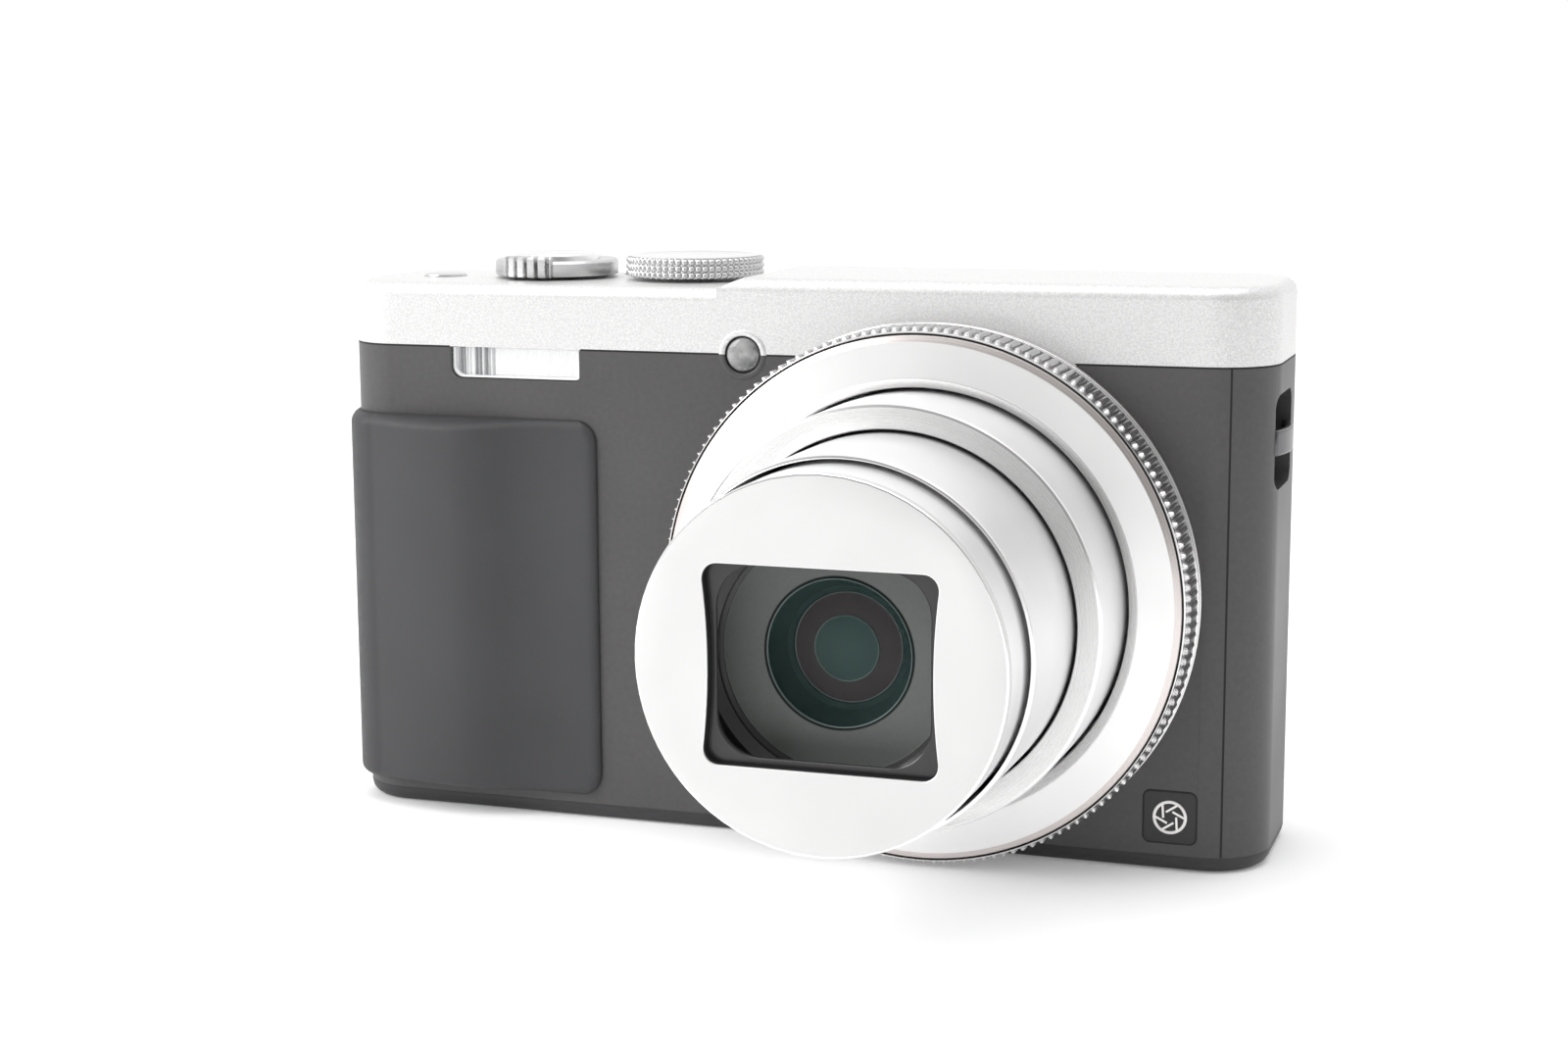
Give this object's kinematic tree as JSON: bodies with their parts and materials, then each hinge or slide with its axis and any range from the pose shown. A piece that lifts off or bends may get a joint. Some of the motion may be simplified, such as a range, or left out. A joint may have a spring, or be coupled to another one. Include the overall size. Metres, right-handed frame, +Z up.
{
  "type": "compact digital camera",
  "caption": "Pocket camera with an extended telescoping zoom lens, silver top, black body, rubber grip, control ring, mode dial and rear screen.",
  "frame": {"origin": "mouth of the tripod socket, on the base at mid-width and mid-depth", "axes": "+X to the right seen from the front, +Y from the front to the back, +Z up; the tripod socket opens along -Z"},
  "size_m": [0.112, 0.0674, 0.0661],
  "materials": {
    "black_casing": "satin moulded black with a fine texture",
    "base_black": "matt moulded black",
    "top_silver": "silver paint with fine metallic flake, satin",
    "grip_rubber": "matt charcoal with a fine leather-like grain",
    "badge_black": "gloss",
    "flash_clear": "clear, ribbed behind",
    "reflector": "bright",
    "capacitor_sleeve": "shrink sleeve",
    "lamp_lens": "smoked translucent",
    "screen_glass": "polished",
    "module_grey": "plain",
    "eyepiece_black": "matt",
    "frame_metal": "pressed",
    "circuit_board": "solder mask",
    "sensor_dark": "cover glass",
    "battery_grey": "matt",
    "card_blue": "matt",
    "ring_silver": "satin, fine knurl",
    "trim_silver": "satin turned face",
    "lug_dark": "dark satin",
    "screw_black": "black oxide",
    "inner_black": "matt",
    "brass_gear": "machined",
    "barrel_silver": "satin anodised, turned",
    "front_white": "fine bead-blasted anodised",
    "cell_grey": "satin",
    "lens_glass": "coated",
    "blade_black": "satin black",
    "dial_grey": "satin turned, knurled edge",
    "key_black": "satin"
  },
  "bodies": {
    "body": {"front_cover": "black_casing", "top_cover": "top_silver", "rear_cover": "black_casing", "side_cover": "black_casing", "bottom_cover": "base_black", "grip": "grip_rubber", "badge": "badge_black", "flash_window": "flash_clear", "flash_reflector": "reflector", "flash_tube": "flash_clear", "flash_capacitor": "capacitor_sleeve", "af_lamp": "lamp_lens", "lcd_window": "screen_glass", "lcd_module": "module_grey", "evf_eyepiece": "eyepiece_black", "chassis": "frame_metal", "main_board": "circuit_board", "top_board": "circuit_board", "sensor_board": "circuit_board", "image_sensor": "sensor_dark", "battery": "battery_grey", "memory_card": "card_blue", "card_slot": "frame_metal", "lens_base": "ring_silver", "trim_ring": "trim_silver", "zoom_motor": "frame_metal", "tripod_insert": "frame_metal", "strap_lug": "lug_dark", "case_screws": "screw_black", "sockets": "frame_metal"},
    "control_ring": {"control_ring": "ring_silver"},
    "drive_ring": {"drive_ring": "inner_black"},
    "motor_pinion": {"motor_pinion": "brass_gear"},
    "rear_barrel": {"barrel_1": "barrel_silver", "shutter_unit": "inner_black"},
    "middle_barrel": {"barrel_2": "barrel_silver", "zoom_lens": "inner_black"},
    "front_barrel": {"barrel_3": "barrel_silver", "front_ring": "front_white", "lens_cell": "cell_grey", "front_glass": "lens_glass"},
    "blade_upper_rear": {"blade_upper_rear": "blade_black"},
    "blade_upper_front": {"blade_upper_front": "blade_black"},
    "blade_lower_rear": {"blade_lower_rear": "blade_black"},
    "blade_lower_front": {"blade_lower_front": "blade_black"},
    "focus_lens": {"focus_lens": "inner_black"},
    "zoom_lever": {"zoom_lever": "dial_grey"},
    "shutter_button": {"shutter_button": "dial_grey"},
    "mode_dial": {"mode_dial": "dial_grey"},
    "power_button": {"power_button": "dial_grey"},
    "movie_button": {"movie_button": "dial_grey"},
    "cursor_dial": {"cursor_dial": "key_black"},
    "set_button": {"set_button": "key_black"},
    "playback_button": {"playback_button": "key_black"},
    "display_button": {"display_button": "key_black"},
    "delete_button": {"delete_button": "key_black"},
    "diopter_dial": {"diopter_dial": "key_black"},
    "battery_door": {"battery_door": "base_black"},
    "door_latch": {"door_latch": "key_black"},
    "connector_door": {"connector_door": "black_casing"}
  },
  "joints": [
    {"name": "control_ring_turn", "type": "hinge", "parent": "body", "child": "control_ring", "pos_m": [0.0185, 0, 0.0302], "axis": [0, -1, 0], "continuous": true},
    {"name": "lens_extend", "type": "slide", "parent": "body", "child": "rear_barrel", "axis": [0, -1, 0], "range_m": [-0.0105, 0.003]},
    {"name": "middle_barrel_extend", "type": "slide", "parent": "rear_barrel", "child": "middle_barrel", "axis": [0, -1, 0], "range_m": [-0.01555, 0.0045]},
    {"name": "front_barrel_extend", "type": "slide", "parent": "middle_barrel", "child": "front_barrel", "axis": [0, -1, 0], "range_m": [-0.00605, 0.00175]},
    {"name": "drive_ring_turn", "type": "hinge", "parent": "body", "child": "drive_ring", "pos_m": [0.0185, 0, 0.0302], "axis": [0, -1, 0], "range_deg": [-101, 29.5]},
    {"name": "pinion_turn", "type": "hinge", "parent": "body", "child": "motor_pinion", "pos_m": [-0.00372, 0, 0.04884], "axis": [0, -1, 0], "range_deg": [-255, 875]},
    {"name": "barrier_close", "type": "slide", "parent": "front_barrel", "child": "blade_upper_rear", "axis": [0, 0, 1], "range_m": [-0.0101, 0]},
    {"name": "barrier_upper_front", "type": "slide", "parent": "front_barrel", "child": "blade_upper_front", "axis": [0, 0, 1], "range_m": [-0.00635, 0]},
    {"name": "barrier_lower_rear", "type": "slide", "parent": "front_barrel", "child": "blade_lower_rear", "axis": [0, 0, -1], "range_m": [-0.0101, 0]},
    {"name": "barrier_lower_front", "type": "slide", "parent": "front_barrel", "child": "blade_lower_front", "axis": [0, 0, -1], "range_m": [-0.00635, 0]},
    {"name": "focus_travel", "type": "slide", "parent": "body", "child": "focus_lens", "axis": [0, -1, 0], "range_m": [0, 0.002]},
    {"name": "zoom_lever_turn", "type": "hinge", "parent": "body", "child": "zoom_lever", "pos_m": [-0.0326, 0.0015, 0.063], "axis": [0, 0, 1], "range_deg": [-20, 20], "stiffness_Nm_per_rad": 0.01},
    {"name": "shutter_press", "type": "slide", "parent": "body", "child": "shutter_button", "axis": [0, 0, 1], "range_m": [-0.0011, 0], "stiffness_N_per_m": 400, "springref_m": 0.0004},
    {"name": "mode_dial_turn", "type": "hinge", "parent": "body", "child": "mode_dial", "pos_m": [-0.0152, 0.0026, 0.063], "axis": [0, 0, 1], "continuous": true},
    {"name": "power_press", "type": "slide", "parent": "body", "child": "power_button", "axis": [0, 0, 1], "range_m": [-0.0005, 0], "stiffness_N_per_m": 400, "springref_m": 0.0004},
    {"name": "movie_press", "type": "slide", "parent": "body", "child": "movie_button", "axis": [0, 0, 1], "range_m": [-0.0005, 0], "stiffness_N_per_m": 400, "springref_m": 0.0004},
    {"name": "cursor_dial_turn", "type": "hinge", "parent": "body", "child": "cursor_dial", "pos_m": [-0.036, 0.012, 0.022], "axis": [0, 1, 0], "continuous": true},
    {"name": "set_press", "type": "slide", "parent": "body", "child": "set_button", "axis": [0, 1, 0], "range_m": [-0.0005, 0], "stiffness_N_per_m": 400, "springref_m": 0.0004},
    {"name": "playback_press", "type": "slide", "parent": "body", "child": "playback_button", "axis": [0, 1, 0], "range_m": [-0.0005, 0], "stiffness_N_per_m": 400, "springref_m": 0.0004},
    {"name": "display_press", "type": "slide", "parent": "body", "child": "display_button", "axis": [0, 1, 0], "range_m": [-0.0005, 0], "stiffness_N_per_m": 400, "springref_m": 0.0004},
    {"name": "delete_press", "type": "slide", "parent": "body", "child": "delete_button", "axis": [0, 1, 0], "range_m": [-0.0005, 0], "stiffness_N_per_m": 400, "springref_m": 0.0004},
    {"name": "diopter_turn", "type": "hinge", "parent": "body", "child": "diopter_dial", "pos_m": [0.0286, 0.012, 0.0596], "axis": [0, 1, 0], "range_deg": [-120, 120]},
    {"name": "battery_door_open", "type": "hinge", "parent": "body", "child": "battery_door", "pos_m": [-0.0124, 0, 0.0009], "axis": [0, -1, 0], "range_deg": [0, 100]},
    {"name": "door_latch_slide", "type": "slide", "parent": "battery_door", "child": "door_latch", "axis": [1, 0, 0], "range_m": [0, 0.0018]},
    {"name": "connector_door_open", "type": "hinge", "parent": "body", "child": "connector_door", "pos_m": [-0.05475, 0.00445, 0.032], "axis": [0, 0, -1], "range_deg": [0, 95]}
  ],
  "couplings": [
    {"joint": "middle_barrel_extend", "follows": "lens_extend", "ratio": 1.4762},
    {"joint": "front_barrel_extend", "follows": "lens_extend", "ratio": 0.57143},
    {"joint": "drive_ring_turn", "follows": "lens_extend", "rad_per_m": 166.22},
    {"joint": "pinion_turn", "follows": "lens_extend", "rad_per_m": -1440.6},
    {"joint": "barrier_upper_front", "follows": "barrier_close", "ratio": 0.62376},
    {"joint": "barrier_lower_rear", "follows": "barrier_close", "ratio": 1},
    {"joint": "barrier_lower_front", "follows": "barrier_close", "ratio": 0.62376}
  ]
}
